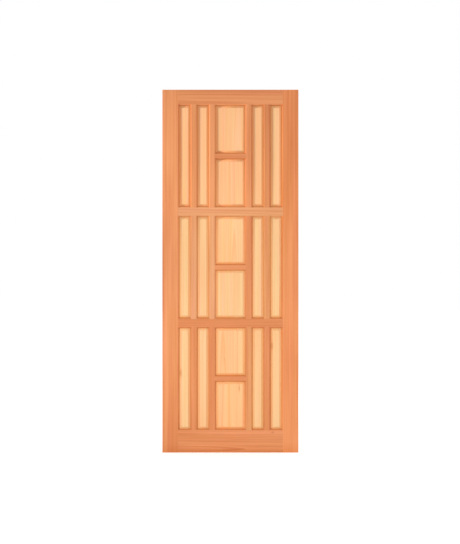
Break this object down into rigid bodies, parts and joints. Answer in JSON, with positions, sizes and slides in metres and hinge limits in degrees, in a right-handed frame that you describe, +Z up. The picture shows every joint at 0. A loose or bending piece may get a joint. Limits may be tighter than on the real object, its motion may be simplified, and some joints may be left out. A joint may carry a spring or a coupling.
{
  "type": "exterior door leaf",
  "caption": "Solid timber exterior door leaf: stiles, rails and moulded bars that hold tall narrow raised panels beside stacked centre panels. Hung by its hinge edge to close a doorway.",
  "frame": {"origin": "foot of the hinge edge, at mid thickness", "axes": "+X from the hinge edge to the lock edge, -Y towards the face in the picture, +Z up"},
  "size_m": [0.762, 0.044, 2.032],
  "materials": {
    "framing_timber": "satin varnish",
    "panel_timber": "satin varnish"
  },
  "bodies": {
    "root": {"hinge_stile": "framing_timber", "lock_stile": "framing_timber", "top_rail": "framing_timber", "upper_rail": "framing_timber", "lower_rail": "framing_timber", "bottom_rail": "framing_timber", "top_muntin_1": "framing_timber", "top_muntin_2": "framing_timber", "top_muntin_3": "framing_timber", "top_muntin_4": "framing_timber", "top_centre_bar": "framing_timber", "middle_muntin_1": "framing_timber", "middle_muntin_2": "framing_timber", "middle_muntin_3": "framing_timber", "middle_muntin_4": "framing_timber", "middle_centre_bar": "framing_timber", "bottom_muntin_1": "framing_timber", "bottom_muntin_2": "framing_timber", "bottom_muntin_3": "framing_timber", "bottom_muntin_4": "framing_timber", "bottom_centre_bar": "framing_timber", "top_tall_panel_1": "panel_timber", "top_tall_panel_2": "panel_timber", "top_tall_panel_3": "panel_timber", "top_tall_panel_4": "panel_timber", "top_centre_panel_upper": "panel_timber", "top_centre_panel_lower": "panel_timber", "middle_tall_panel_1": "panel_timber", "middle_tall_panel_2": "panel_timber", "middle_tall_panel_3": "panel_timber", "middle_tall_panel_4": "panel_timber", "middle_centre_panel_upper": "panel_timber", "middle_centre_panel_lower": "panel_timber", "bottom_tall_panel_1": "panel_timber", "bottom_tall_panel_2": "panel_timber", "bottom_tall_panel_3": "panel_timber", "bottom_tall_panel_4": "panel_timber", "bottom_centre_panel_upper": "panel_timber", "bottom_centre_panel_lower": "panel_timber"}
  },
  "joints": []
}
